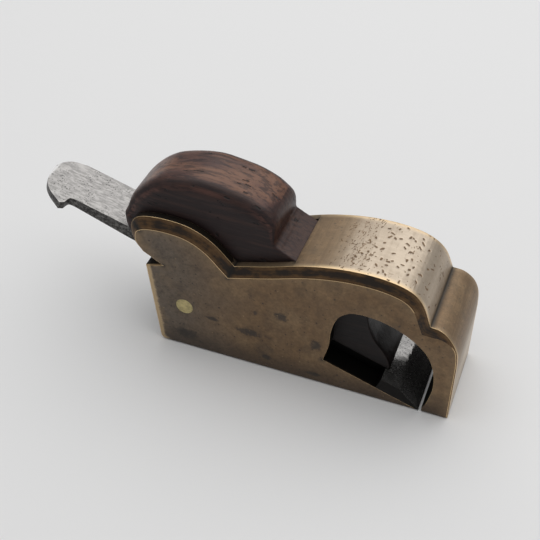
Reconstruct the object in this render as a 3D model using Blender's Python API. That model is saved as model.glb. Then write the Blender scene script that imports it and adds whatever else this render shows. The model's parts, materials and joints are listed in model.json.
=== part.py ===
"""Bullnose rebate plane: cast gunmetal body, pinned wooden bed block, snecked iron and wooden wedge.

Sizes are in millimetres and are turned into metres where a mesh is made.
+X points to the toe, +Z up, and the origin is on the sole, at the middle of its length and width.
"""

import math

import bpy
import bmesh
from mathutils import Matrix, Vector
from mathutils.geometry import tessellate_polygon

MM = 0.001

# Body casting
SOLE_LENGTH = 93.0
BODY_WIDTH = 28.6
SLOT_WIDTH = 20.2
CHAMFER_HEIGHT = 2.8
CHAMFER_DEPTH = 2.0
LOBE_CHAMFER_HEIGHT = 3.3
TOE_CHAMFER_DEPTH = 1.0
EDGE_BREAK = 0.35
HEEL_HEIGHT = 30.2
HEEL_LEAN = 2.9
HEEL_ROUND = 1.6
HEEL_NOTCH_DEPTH = 5.4
HEEL_NOTCH_WIDTH = 3.4
SOLE_THICKNESS = 4.6

# Crown profile: the lobe at the back, the hump over the throat and the rounded toe
LOBE_X = -41.5
LOBE_HEIGHT = 48.3
LOBE_SPAN = 33.2
HUMP_X = 16.5
HUMP_HEIGHT = 46.6
HUMP_SPAN = 45.0
TOE_NOTCH_X = 37.5
TOE_HEIGHT = 34.2
TOE_ROUND = 12.5

# Bed, mouth and throat
BED_ANGLE = 19.0
TOE_LENGTH = 8.9
MOUTH_GAP = 0.9
BRIDGE_BACK_X = -3.2
WEDGE_TAPER = 7.0
THROAT_BACK_X = 7.4
THROAT_ROOF = 32.9
THROAT_OGEE = 16.0
THROAT_ARCH = 31.2

# Iron
IRON_LENGTH = 132.2
IRON_THICKNESS = 4.4
IRON_HEAD_LENGTH = 14.2
IRON_BEVEL_ANGLE = 27.5
TANG_WIDTH = 15.2
TAIL_TAPER_LENGTH = 31.0
TAIL_THICKNESS = 2.2
TAIL_LIFT = 1.3
TAIL_ROUND = 8.0
SNECK_REACH = 3.9
SNECK_LENGTH = 9.6

# Wedge
WEDGE_SETBACK = 13.0
WEDGE_HEIGHT = 61.7
WEDGE_ROUND = 0.5
WEDGE_NOSE = 15.4
GRIP_ROUND = 4.2
GRIP_FRONT_DROP = 14.9
GRIP_BACK_DROP = 20.6
GRIP_BACK_X = -58.0
GRIP_FRONT_X = -10.4
GRIP_FOOT_X = -55.6

# Bed block and its cross pin
BLOCK_FRONT_X = -6.0
PIN_DIAMETER = 5.2
PIN_X = -37.4
PIN_HEIGHT = 17.0

# Fits
SLIDE_FIT = 0.3
SEAT_FIT = 0.2
EDGE_ABOVE_SOLE = 0.12
CUT_MARGIN = 6.0

X_TOE = SOLE_LENGTH / 2
X_HEEL = -SOLE_LENGTH / 2
MOUTH_X = X_TOE - TOE_LENGTH
BED_SLOPE = math.tan(math.radians(BED_ANGLE))
BEARING_SLOPE = math.tan(math.radians(BED_ANGLE + WEDGE_TAPER))
DOWN_BED = Vector((math.cos(math.radians(BED_ANGLE)), -math.sin(math.radians(BED_ANGLE))))
OFF_BED = Vector((math.sin(math.radians(BED_ANGLE)), math.cos(math.radians(BED_ANGLE))))
CURVE_STEPS = 5
ROUND_SIDES = 32
ROUND_STEPS = 4
SMOOTH_ANGLE = 30.0
CORNER_ANGLE = math.radians(25.0)

plane_parts = bpy.data.collections.new("bullnose_plane")
cutters = bpy.data.collections.new("bullnose_plane_cutters")


# Outlines, as lists of (x, z) points


def smooth(knots):
    """Catmull-Rom curve through the knots, with CURVE_STEPS points to each span."""
    ends = [2 * Vector(knots[0]) - Vector(knots[1]), 2 * Vector(knots[-1]) - Vector(knots[-2])]
    p = [ends[0], *map(Vector, knots), ends[1]]
    curve = []
    for i in range(1, len(p) - 2):
        for step in range(CURVE_STEPS):
            t = step / CURVE_STEPS
            a = 2 * p[i]
            b = p[i + 1] - p[i - 1]
            c = 2 * p[i - 1] - 5 * p[i] + 4 * p[i + 1] - p[i + 2]
            d = -p[i - 1] + 3 * p[i] - 3 * p[i + 1] + p[i + 2]
            curve.append((a + b * t + c * t * t + d * t**3) / 2)
    curve.append(p[-2])
    return curve


def about(x, z, size, shares):
    """Knots round the point (x, z), each given as shares of a size."""
    return [(x + size * u, z + size * v) for u, v in shares]


def ease(share):
    """Smooth step from 0 to 1."""
    share = min(max(share, 0.0), 1.0)
    return share * share * (3 - 2 * share)


def fillet(corner, before, after, radius, steps=5):
    """Arc that rounds a corner between the directions to two neighbouring points."""
    corner = Vector(corner)
    u = (Vector(before) - corner).normalized()
    v = (Vector(after) - corner).normalized()
    half = u.angle(v) / 2
    centre = corner + (u + v).normalized() * radius / math.sin(half)
    first = corner + u * radius / math.tan(half) - centre
    turn = first.angle_signed(corner + v * radius / math.tan(half) - centre)
    arc = []
    for i in range(steps + 1):
        angle = -turn * i / steps
        spun = Vector((first.x * math.cos(angle) - first.y * math.sin(angle),
                       first.x * math.sin(angle) + first.y * math.cos(angle)))
        arc.append(centre + spun)
    return arc


def bed_height(x):
    """Height of the bed plane above the sole."""
    return (MOUTH_X - x) * BED_SLOPE


def bearing_height(x):
    """Height of the bridge's underside, which the wedge bears on."""
    edge = hump_height(BRIDGE_BACK_X)
    return edge + (BRIDGE_BACK_X - x) * BEARING_SLOPE


def on_iron(along, off):
    """Point at a distance back from the cutting edge and above the bed, as (x, z)."""
    edge = Vector((MOUTH_X, EDGE_ABOVE_SOLE))
    return edge - DOWN_BED * along + OFF_BED * off


# Body profile


def crown_back():
    """Top line of the lobe, from the heel notch up, over and down to the saddle."""
    return smooth(about(LOBE_X, LOBE_HEIGHT, LOBE_SPAN, [
        (-0.253, -0.39), (-0.331, -0.275), (-0.364, -0.165), (-0.328, -0.072), (-0.211, -0.018),
        (0.0, 0.0), (0.217, -0.03), (0.422, -0.142), (0.612, -0.342),
    ]))


def crown_hump():
    """Top line from the saddle over the hump and down to the notch behind the toe."""
    saddle = crown_back()[-1]
    return smooth([tuple(saddle), *about(HUMP_X, HUMP_HEIGHT, HUMP_SPAN, [
        (-0.587, -0.137), (-0.389, -0.068), (-0.189, -0.02), (0.0, 0.0), (0.178, -0.009),
        (0.32, -0.051), (0.408, -0.134),
    ]), (TOE_NOTCH_X, TOE_HEIGHT)])


def crown_toe():
    """Top line of the rounded toe, from its notch down to the upright front."""
    return smooth([(TOE_NOTCH_X, TOE_HEIGHT), *about(X_TOE, TOE_HEIGHT, TOE_ROUND, [
        (-0.48, -0.03), (-0.28, -0.16), (-0.12, -0.37), (-0.03, -0.64), (0.0, -1.0),
    ])])


def hump_height(x):
    """Height of the crown's top line over the bridge."""
    line = crown_hump()
    for a, b in zip(line, line[1:]):
        if a.x <= x <= b.x:
            return a.y + (b.y - a.y) * (x - a.x) / (b.x - a.x)
    return line[-1].y


def body_outline():
    """Side of the body, as points and the chamfer's (height, depth) at each: it stops at heel and toe."""
    back, hump, toe = crown_back(), crown_hump()[1:], crown_toe()[1:]
    cuts = []
    for i in range(len(back)):
        grown = ease(i / (3 * CURVE_STEPS))
        cuts.append((LOBE_CHAMFER_HEIGHT * grown, CHAMFER_DEPTH * grown))
    for i in range(len(hump)):
        left = ease((len(hump) - 1 - i) / (2 * CURVE_STEPS))
        cuts.append((CHAMFER_HEIGHT, TOE_CHAMFER_DEPTH + (CHAMFER_DEPTH - TOE_CHAMFER_DEPTH) * left))
    for i in range(len(toe)):
        left = 1 - ease(i / (4 * CURVE_STEPS))
        cuts.append((CHAMFER_HEIGHT * left, TOE_CHAMFER_DEPTH * left))
    heel_low = Vector((X_HEEL, 0.0))
    heel_high = Vector((X_HEEL - HEEL_LEAN, HEEL_HEIGHT))
    apex = heel_high + Vector((HEEL_NOTCH_DEPTH, HEEL_NOTCH_WIDTH / 2))
    rest = [Vector((X_TOE, 0.0)), *fillet(heel_low, (X_TOE, 0.0), heel_high, HEEL_ROUND), heel_high, apex]
    cuts += [(0.0, 0.0)] * len(rest)
    points = [*back, *hump, *toe, *rest]
    return points[::-1], [(max(height, EDGE_BREAK), max(depth, EDGE_BREAK)) for height, depth in cuts[::-1]]


def throat_outline():
    """Side opening: an ogee at the back, a long arch over the mouth, and the bed plane below."""
    back_low = Vector((THROAT_BACK_X, bed_height(THROAT_BACK_X)))
    ogee = smooth([tuple(back_low), *about(THROAT_BACK_X, THROAT_ROOF, THROAT_OGEE, [
        (0.1, -1.0), (0.125, -0.625), (0.231, -0.25), (0.4375, -0.05), (0.675, 0.0),
    ])])
    front = MOUTH_X + MOUTH_GAP
    arch = smooth([tuple(ogee[-1]), *about(front, THROAT_ROOF, THROAT_ARCH, [
        (-0.468, -0.019), (-0.276, -0.09), (-0.083, -0.221), (0.032, -0.394), (0.077, -0.66),
        (0.042, -0.904), (0.0, -1.0),
    ])])
    return [*ogee, *arch[1:], Vector((front, bed_height(front)))]


def slot_outline():
    """Slot between the cheeks: the bed block's seat, the bed plane, and the bridge's underside above."""
    x_back = X_HEEL - 5 * CUT_MARGIN
    x_front = THROAT_BACK_X + CUT_MARGIN
    return [Vector((x_back, SOLE_THICKNESS)), Vector((BLOCK_FRONT_X, SOLE_THICKNESS)),
            Vector((BLOCK_FRONT_X, bed_height(BLOCK_FRONT_X))), Vector((x_front, bed_height(x_front))),
            Vector((x_front + CUT_MARGIN, bearing_height(x_front + CUT_MARGIN))),
            Vector((x_back, bearing_height(x_back)))]


def block_outline():
    """Bed block under the iron, flush with the leaning heel."""
    lean = HEEL_LEAN / HEEL_HEIGHT
    floor = SOLE_THICKNESS + SEAT_FIT
    front = BLOCK_FRONT_X - SEAT_FIT
    top_x = (X_HEEL - lean * MOUTH_X * BED_SLOPE) / (1 - lean * BED_SLOPE)
    return [Vector((X_HEEL - lean * floor, floor)), Vector((top_x, bed_height(top_x))),
            Vector((front, bed_height(front))), Vector((front, floor))]


# Iron and wedge outlines


def iron_side():
    """Side of the iron: bevel at the cutting edge, parallel stretch and tapered tail."""
    heel = IRON_THICKNESS / math.tan(math.radians(IRON_BEVEL_ANGLE))
    taper = IRON_LENGTH - TAIL_TAPER_LENGTH
    return [on_iron(0.0, 0.0), on_iron(heel, IRON_THICKNESS), on_iron(taper, IRON_THICKNESS),
            on_iron(IRON_LENGTH, TAIL_LIFT + TAIL_THICKNESS), on_iron(IRON_LENGTH, TAIL_LIFT),
            on_iron(taper, 0.0)]


def iron_plan():
    """Plan of the iron, as (distance back from the edge, y): wide head, narrow tang, sneck at the tail."""
    wide = BODY_WIDTH / 2
    half = TANG_WIDTH / 2
    shoulder = IRON_HEAD_LENGTH
    hook = IRON_LENGTH - SNECK_LENGTH
    far = about(IRON_LENGTH, half, TAIL_ROUND, [(-1.0, 0.0), (-0.4, -0.175), (-0.075, -0.5375)])
    near = about(IRON_LENGTH, -half, TAIL_ROUND, [(-0.1, 0.325), (-0.425, -0.1125)])
    point = (hook + 0.15 * TAIL_ROUND, -half - SNECK_REACH)
    tail = smooth([*far, (IRON_LENGTH, 0.0), *near, point])
    inner = about(hook, -half, TAIL_ROUND, [(-0.3, 0.0), (-0.075, -0.0625)])
    return [Vector((0.0, -wide)), Vector((shoulder, -wide)), Vector((shoulder, -half)),
            *smooth([*inner, (hook, point[1] + 0.1125 * TAIL_ROUND)]),
            *reversed(tail), Vector((shoulder, half)), Vector((shoulder, wide)), Vector((0.0, wide))]


def wedge_outline():
    """Side of the wedge, as points and the edge radius at each: nose, bridge face, finger notch, grip."""
    seat = IRON_THICKNESS + SLIDE_FIT
    tip = on_iron(WEDGE_SETBACK, seat)
    nose = smooth([tuple(tip), *about(tip.x, tip.y, WEDGE_NOSE, [
        (-0.039, 0.208), (-0.169, 0.448), (-0.351, 0.688), (-0.481, 1.0),
    ])])
    top_x = nose[-1].x - 0.1 * WEDGE_NOSE

    def under_bridge(x):
        return Vector((x, bearing_height(x) - SLIDE_FIT / DOWN_BED.x))

    foot = under_bridge(GRIP_FRONT_X + 0.175 * GRIP_FRONT_DROP)
    block = [under_bridge(top_x), under_bridge(BRIDGE_BACK_X), foot]
    front = smooth([tuple(foot), *about(GRIP_FRONT_X, WEDGE_HEIGHT, GRIP_FRONT_DROP, [
        (0.013, -1.0), (-0.047, -0.624), (-0.154, -0.409), (-0.336, -0.258), (-0.671, -0.122),
        (-1.06, -0.047),
    ])])
    rear_low = on_iron((MOUTH_X + seat * OFF_BED.x - GRIP_FOOT_X) / DOWN_BED.x, seat)
    back = smooth([tuple(front[-1]), *about(GRIP_BACK_X, WEDGE_HEIGHT, GRIP_BACK_DROP, [
        (1.262, 0.0), (0.961, -0.038), (0.66, -0.121), (0.495, -0.204), (0.345, -0.318), (0.199, -0.468),
        (0.068, -0.652), (0.0, -0.835), (0.034, -1.0),
    ]), tuple(rear_low)])
    plain = [*nose, *block[:-1], front[0]]
    grip = [*front[1:], *back[1:]]
    radii = [WEDGE_ROUND] * len(plain)
    for i in range(len(grip)):
        ends = min(i, len(grip) - 1 - i) / (3 * CURVE_STEPS)
        radii.append(WEDGE_ROUND + (GRIP_ROUND - WEDGE_ROUND) * ease(ends))
    return plain + grip, [(radius, radius) for radius in radii]


# Solids


def to_mesh(curve_object):
    """A curve object made into a mesh object of the same name and place, with its caps welded."""
    bpy.context.view_layer.update()
    evaluated = curve_object.evaluated_get(bpy.context.evaluated_depsgraph_get())
    mesh = bpy.data.meshes.new_from_object(evaluated)
    place = curve_object.matrix_world.copy()
    name = curve_object.name
    bpy.data.objects.remove(curve_object)
    shape = bmesh.new()
    shape.from_mesh(mesh)
    bmesh.ops.remove_doubles(shape, verts=shape.verts, dist=1e-6)
    bmesh.ops.dissolve_degenerate(shape, edges=shape.edges, dist=1e-7)
    bmesh.ops.recalc_face_normals(shape, faces=shape.faces)
    shape.transform(place)
    shape.to_mesh(mesh)
    shape.free()
    solid = bpy.data.objects.new(name, mesh)
    bpy.context.scene.collection.objects.link(solid)
    return solid


def slab(name, outline, width):
    """Solid of an (x, z) outline, width across."""
    curve = bpy.data.curves.new(name, "CURVE")
    curve.dimensions = "2D"
    curve.fill_mode = "BOTH"
    curve.extrude = width / 2 * MM
    spline = curve.splines.new("POLY")
    spline.points.add(len(outline) - 1)
    for point, (x, z) in zip(spline.points, outline):
        point.co = (x * MM, z * MM, 0.0, 1.0)
    spline.use_cyclic_u = True
    shape = bpy.data.objects.new(name, curve)
    shape.rotation_euler = (math.radians(90), 0.0, 0.0)
    bpy.context.scene.collection.objects.link(shape)
    return to_mesh(shape)


def inward(outline, cuts, i):
    """How far the outline's point i moves inward; a sharp corner keeps the cut of each side."""
    u = (outline[i] - outline[i - 1]).normalized()
    v = (outline[(i + 1) % len(outline)] - outline[i]).normalized()
    along = (u + v).normalized()
    if u.angle(v) < CORNER_ANGLE or along.dot(u) < 0.5:
        return Vector((-along.y, along.x)) * cuts[i][0] / max(along.dot(u), 0.5)
    before, after = cuts[i - 1][0], cuts[(i + 1) % len(outline)][0]
    return (v * before - u * after) / u.cross(v)


def rounded_slab(name, outline, cuts, width, round_steps):
    """Solid of an (x, z) outline whose side edges are cut by a (height, depth) of their own at each point.

    One round step gives a flat chamfer.
    """
    count = len(outline)
    moves = [inward(outline, cuts, i) for i in range(count)]
    shape = bmesh.new()
    layers = []
    for side in (-1, 1):
        turns = range(round_steps + 1) if side < 0 else range(round_steps, -1, -1)
        for turn in turns:
            angle = math.radians(90.0 * turn / round_steps)
            layer = []
            for point, move, cut in zip(outline, moves, cuts):
                at = point + move * (1 - math.sin(angle))
                y = side * (width / 2 - cut[1] * (1 - math.cos(angle)))
                layer.append(shape.verts.new((at.x * MM, y * MM, at.y * MM)))
            layers.append(layer)
    for near, far in zip(layers, layers[1:]):
        for i in range(count):
            shape.faces.new((near[i], near[(i + 1) % count], far[(i + 1) % count], far[i]))
    for layer in (layers[0], layers[-1]):
        for corners in tessellate_polygon([[vertex.co for vertex in layer]]):
            shape.faces.new([layer[i] for i in corners])
    bmesh.ops.recalc_face_normals(shape, faces=shape.faces)
    mesh = bpy.data.meshes.new(name)
    shape.to_mesh(mesh)
    shape.free()
    solid = bpy.data.objects.new(name, mesh)
    bpy.context.scene.collection.objects.link(solid)
    return solid


def rod(name, x, z, diameter, length):
    """Round rod across the body."""
    bpy.ops.mesh.primitive_cylinder_add(
        vertices=ROUND_SIDES, radius=diameter / 2 * MM, depth=length * MM,
        location=(x * MM, 0.0, z * MM), rotation=(math.radians(90), 0.0, 0.0))
    solid = bpy.context.object
    solid.name = name
    bpy.ops.object.transform_apply(location=True, rotation=True, scale=True)
    return solid


def combine(solid, other, operation):
    """Boolean of two solids; the other one is kept as a hidden guide."""
    modifier = solid.modifiers.new(operation.lower() + "_" + other.name, "BOOLEAN")
    modifier.operation = operation
    modifier.solver = "EXACT"
    modifier.object = other
    other.hide_render = True
    other.display_type = "WIRE"
    for collection in list(other.users_collection):
        collection.objects.unlink(other)
    cutters.objects.link(other)
    return solid


def finish(solid, material, origin=(0.0, 0.0)):
    """Puts a solid among the parts, with its material, its smooth round faces and its origin at (x, z)."""
    bpy.context.view_layer.update()
    evaluated = solid.evaluated_get(bpy.context.evaluated_depsgraph_get())
    mesh = bpy.data.meshes.new_from_object(evaluated)
    solid.modifiers.clear()
    solid.data = mesh
    mesh.materials.clear()
    mesh.materials.append(material)
    mesh.shade_smooth()
    mesh.set_sharp_from_angle(angle=math.radians(SMOOTH_ANGLE))
    place = Vector((origin[0] * MM, 0.0, origin[1] * MM))
    mesh.transform(Matrix.Translation(-place))
    solid.location = place
    for collection in list(solid.users_collection):
        collection.objects.unlink(solid)
    plane_parts.objects.link(solid)
    return solid


def material(name, colour, roughness, metallic):
    """Plain Principled material."""
    made = bpy.data.materials.new(name)
    made.use_nodes = True
    shader = made.node_tree.nodes["Principled BSDF"]
    shader.inputs["Base Color"].default_value = (*colour, 1.0)
    shader.inputs["Roughness"].default_value = roughness
    shader.inputs["Metallic"].default_value = metallic
    return made


# Pieces


def make_body(gunmetal):
    """Gunmetal casting: chamfered outline, throat, slot, bed-block seat and pin hole."""
    outline, cuts = body_outline()
    body = rounded_slab("body_casting", outline, cuts, BODY_WIDTH, 1)
    through = BODY_WIDTH + 2 * CUT_MARGIN
    hole = PIN_DIAMETER + 2 * SEAT_FIT
    combine(body, slab("throat_cutter", throat_outline(), through), "DIFFERENCE")
    combine(body, slab("slot_cutter", slot_outline(), SLOT_WIDTH), "DIFFERENCE")
    combine(body, rod("pin_hole_cutter", PIN_X, PIN_HEIGHT, hole, through), "DIFFERENCE")
    return finish(body, gunmetal)


def make_bed_block(rosewood):
    """Wooden bed block between the cheeks, bored for the cross pin."""
    block = slab("bed_block", block_outline(), SLOT_WIDTH - 2 * SEAT_FIT)
    bore = rod("block_bore_cutter", PIN_X, PIN_HEIGHT, PIN_DIAMETER + 2 * SEAT_FIT, BODY_WIDTH)
    combine(block, bore, "DIFFERENCE")
    return finish(block, rosewood)


def make_pin(brass):
    """Cross pin through both cheeks and the bed block, filed flush."""
    return finish(rod("cross_pin", PIN_X, PIN_HEIGHT, PIN_DIAMETER, BODY_WIDTH), brass, (PIN_X, PIN_HEIGHT))


def make_iron(steel):
    """Iron: its side profile cut to its plan."""
    iron = slab("iron", iron_side(), BODY_WIDTH + 2 * CUT_MARGIN)
    outline = iron_plan()
    shape = bpy.data.curves.new("iron_plan", "CURVE")
    shape.dimensions = "2D"
    shape.fill_mode = "BOTH"
    shape.extrude = 4 * IRON_THICKNESS * MM
    spline = shape.splines.new("POLY")
    spline.points.add(len(outline) - 1)
    for point, (along, y) in zip(spline.points, outline):
        point.co = (-along * MM, y * MM, 0.0, 1.0)
    spline.use_cyclic_u = True
    guide = bpy.data.objects.new("iron_plan_guide", shape)
    guide.location = (MOUTH_X * MM, 0.0, EDGE_ABOVE_SOLE * MM)
    guide.rotation_euler = (0.0, math.radians(BED_ANGLE), 0.0)
    bpy.context.scene.collection.objects.link(guide)
    combine(iron, to_mesh(guide), "INTERSECT")
    return finish(iron, steel, (MOUTH_X, EDGE_ABOVE_SOLE))


def make_wedge(rosewood):
    """Wooden wedge that locks the iron."""
    outline, cuts = wedge_outline()
    wedge = rounded_slab("wedge", outline, cuts, SLOT_WIDTH - 2 * SLIDE_FIT, ROUND_STEPS)
    return finish(wedge, rosewood, outline[0])


def main():
    for old in list(bpy.data.objects):
        bpy.data.objects.remove(old)
    bpy.context.scene.collection.children.link(plane_parts)
    bpy.context.scene.collection.children.link(cutters)
    make_body(material("gunmetal", (0.36, 0.27, 0.15), 0.38, 1.0))
    make_bed_block(material("bed_rosewood", (0.06, 0.032, 0.024), 0.5, 0.0))
    make_pin(material("pin_brass", (0.6, 0.55, 0.3), 0.4, 1.0))
    make_iron(material("iron_steel", (0.52, 0.51, 0.5), 0.36, 1.0))
    make_wedge(material("wedge_rosewood", (0.07, 0.036, 0.027), 0.4, 0.0))


main()
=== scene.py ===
"""Looks of a cast gunmetal bullnose rebate plane.

Patinated sides, a handled crown, a rosewood wedge, a steel iron and a brass pin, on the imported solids.
"""

from __future__ import annotations

import json
import logging
import math
from dataclasses import dataclass
from enum import Enum
from typing import Callable, TypeAlias

import bmesh
import bpy
import numpy as np
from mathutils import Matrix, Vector
from mathutils.kdtree import KDTree

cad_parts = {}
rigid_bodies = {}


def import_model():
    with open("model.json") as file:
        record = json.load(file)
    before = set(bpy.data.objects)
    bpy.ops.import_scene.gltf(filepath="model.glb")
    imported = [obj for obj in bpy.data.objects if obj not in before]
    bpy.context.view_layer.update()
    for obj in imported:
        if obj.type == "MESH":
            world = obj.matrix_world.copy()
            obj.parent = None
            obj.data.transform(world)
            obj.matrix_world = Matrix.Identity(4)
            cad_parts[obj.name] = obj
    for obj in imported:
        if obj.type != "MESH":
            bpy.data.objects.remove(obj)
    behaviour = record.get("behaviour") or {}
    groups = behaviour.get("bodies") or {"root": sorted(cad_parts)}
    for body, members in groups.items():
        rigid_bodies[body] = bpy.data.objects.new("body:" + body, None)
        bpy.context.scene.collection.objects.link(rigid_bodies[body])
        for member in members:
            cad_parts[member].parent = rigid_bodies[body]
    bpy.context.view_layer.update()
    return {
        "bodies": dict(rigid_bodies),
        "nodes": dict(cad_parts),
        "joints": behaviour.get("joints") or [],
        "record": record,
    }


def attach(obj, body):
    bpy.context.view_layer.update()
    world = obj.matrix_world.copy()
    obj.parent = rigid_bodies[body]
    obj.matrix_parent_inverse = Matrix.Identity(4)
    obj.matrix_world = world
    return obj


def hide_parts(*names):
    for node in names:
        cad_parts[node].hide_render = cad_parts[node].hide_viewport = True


LOG = logging.getLogger("bullnose_plane")
MM = 0.001

Colour: TypeAlias = tuple[float, float, float]
Triple: TypeAlias = tuple[float, float, float]
Number: TypeAlias = "Value | bpy.types.NodeSocket | float"
Feed: TypeAlias = dict[str | int, object]
Rule: TypeAlias = Callable[[Vector, Vector], float]
PointRule: TypeAlias = Callable[[Vector], float]

EVEN: Triple = (1.0, 1.0, 1.0)


class Body(Enum):
    """Moving bodies of the plane."""

    PLANE = "plane_body"
    IRON = "iron"
    WEDGE = "wedge"


class Slot(Enum):
    """Material slots of the record."""

    GUNMETAL = "gunmetal"
    BED = "bed_rosewood"
    PIN = "pin_brass"
    IRON = "iron_steel"
    WEDGE = "wedge_rosewood"


class Domain(Enum):
    """Where a number is stored on a mesh."""

    POINT = "POINT"
    FACE = "FACE"


def held(value: float) -> float:
    """A number held between 0 and 1."""
    return min(max(value, 0.0), 1.0)


# Node building


class Value:
    """Output of a node, which takes arithmetic: each step adds a Math node."""

    def __init__(self, build: NodeBuilder, socket: bpy.types.NodeSocket) -> None:
        """Keeps the builder and the output socket."""
        self.build, self.socket = build, socket

    def __add__(self, other: Number) -> Value:
        """Sum."""
        return self.build.math("ADD", self, other)

    def __sub__(self, other: Number) -> Value:
        """Difference."""
        return self.build.math("SUBTRACT", self, other)

    def __rsub__(self, other: Number) -> Value:
        """What is left of a number."""
        return self.build.math("SUBTRACT", other, self)

    def __mul__(self, other: Number) -> Value:
        """Product."""
        return self.build.math("MULTIPLY", self, other)

    def __truediv__(self, other: Number) -> Value:
        """Quotient."""
        return self.build.math("DIVIDE", self, other)

    def __or__(self, other: Number) -> Value:
        """The larger of two."""
        return self.build.math("MAXIMUM", self, other)

    def clamped(self) -> Value:
        """The same value, held between 0 and 1 by its own Math node."""
        self.socket.node.use_clamp = True
        return self

    def ramp(self, low: Number, high: Number) -> Value:
        """Smooth step of the value.

        Args:
            low: Where the result is 0.
            high: Where the result is 1.

        Returns:
            The stepped value.
        """
        feed = {0: self, 1: low, 2: high}
        node = self.build.add("ShaderNodeMapRange", feed, interpolation_type="SMOOTHSTEP", clamp=True)
        return Value(self.build, node.outputs[0])

    def between(self, a: Number, b: Number) -> Value:
        """Number at this share of the way from a to b."""
        node = self.build.add("ShaderNodeMix", {0: self, 2: a, 3: b}, data_type="FLOAT", clamp_factor=True)
        return Value(self.build, node.outputs[0])


class NodeBuilder:
    """Adds and links nodes in one node tree."""

    def __init__(self, tree: bpy.types.NodeTree) -> None:
        """Keeps the tree."""
        self.tree = tree

    def add(self, kind: str, feed: Feed | None = None, **settings: object) -> bpy.types.Node:
        """Adds a node.

        Args:
            kind: Blender's node type name.
            feed: What goes into its inputs, by name or index.
            settings: Properties of the node, by name.

        Returns:
            The new node.
        """
        node = self.tree.nodes.new(kind)
        for name, value in settings.items():
            setattr(node, name, value)
        for key, value in (feed or {}).items():
            self.put(node.inputs[key], value)
        return node

    def put(self, socket: bpy.types.NodeSocket, value: object) -> None:
        """Links an output to a socket, or sets the socket's own value.

        Args:
            socket: The input socket.
            value: A value, an output socket, a node with its first output, or a constant.
        """
        if isinstance(value, Value):
            value = value.socket
        elif isinstance(value, bpy.types.Node):
            value = value.outputs[0]
        if isinstance(value, bpy.types.NodeSocket):
            self.tree.links.new(value, socket)
        else:
            socket.default_value = (*value, 1.0) if socket.type == "RGBA" else value

    def math(self, operation: str, a: Number, b: Number) -> Value:
        """Result of a Math node."""
        return Value(self, self.add("ShaderNodeMath", {0: a, 1: b}, operation=operation).outputs[0])

    def mix(self, share: Number, a: object, b: object, blend: str = "MIX") -> Value:
        """Mixes two colours.

        Args:
            share: Share of the second colour.
            a: First colour.
            b: Second colour.
            blend: Blend type.

        Returns:
            The mixed colour.
        """
        node = self.add("ShaderNodeMix", {0: share, 6: a, 7: b}, data_type="RGBA", blend_type=blend,
                        clamp_factor=True)
        return Value(self, node.outputs[2])

    def noise(self, vector: Number, scale: Number, detail: float, rough: float) -> Value:
        """Noise value from 0 to 1.

        Args:
            vector: Coordinates, in metres.
            scale: Noise scale, per metre.
            detail: Octaves.
            rough: Weight of the finer octaves.

        Returns:
            The noise value.
        """
        feed = {"Vector": vector, "Scale": scale, "Detail": detail, "Roughness": rough}
        return Value(self, self.add("ShaderNodeTexNoise", feed).outputs[0])

    def stretched(self, stretch: Triple = EVEN, turn: float = 0.0) -> Value:
        """Object coordinates, turned about Y and scaled.

        Args:
            stretch: Factor along each axis.
            turn: Turn about the Y axis, in degrees.

        Returns:
            The mapped coordinates.
        """
        place = self.add("ShaderNodeTexCoord").outputs["Object"]
        feed = {"Vector": place, "Rotation": (0.0, math.radians(turn), 0.0), "Scale": stretch}
        return Value(self, self.add("ShaderNodeMapping", feed).outputs[0])

    def attribute(self, name: str) -> Value:
        """A number stored on the mesh under a name."""
        return Value(self, self.add("ShaderNodeAttribute", attribute_name=name).outputs["Fac"])


# Shared shader effects


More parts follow.
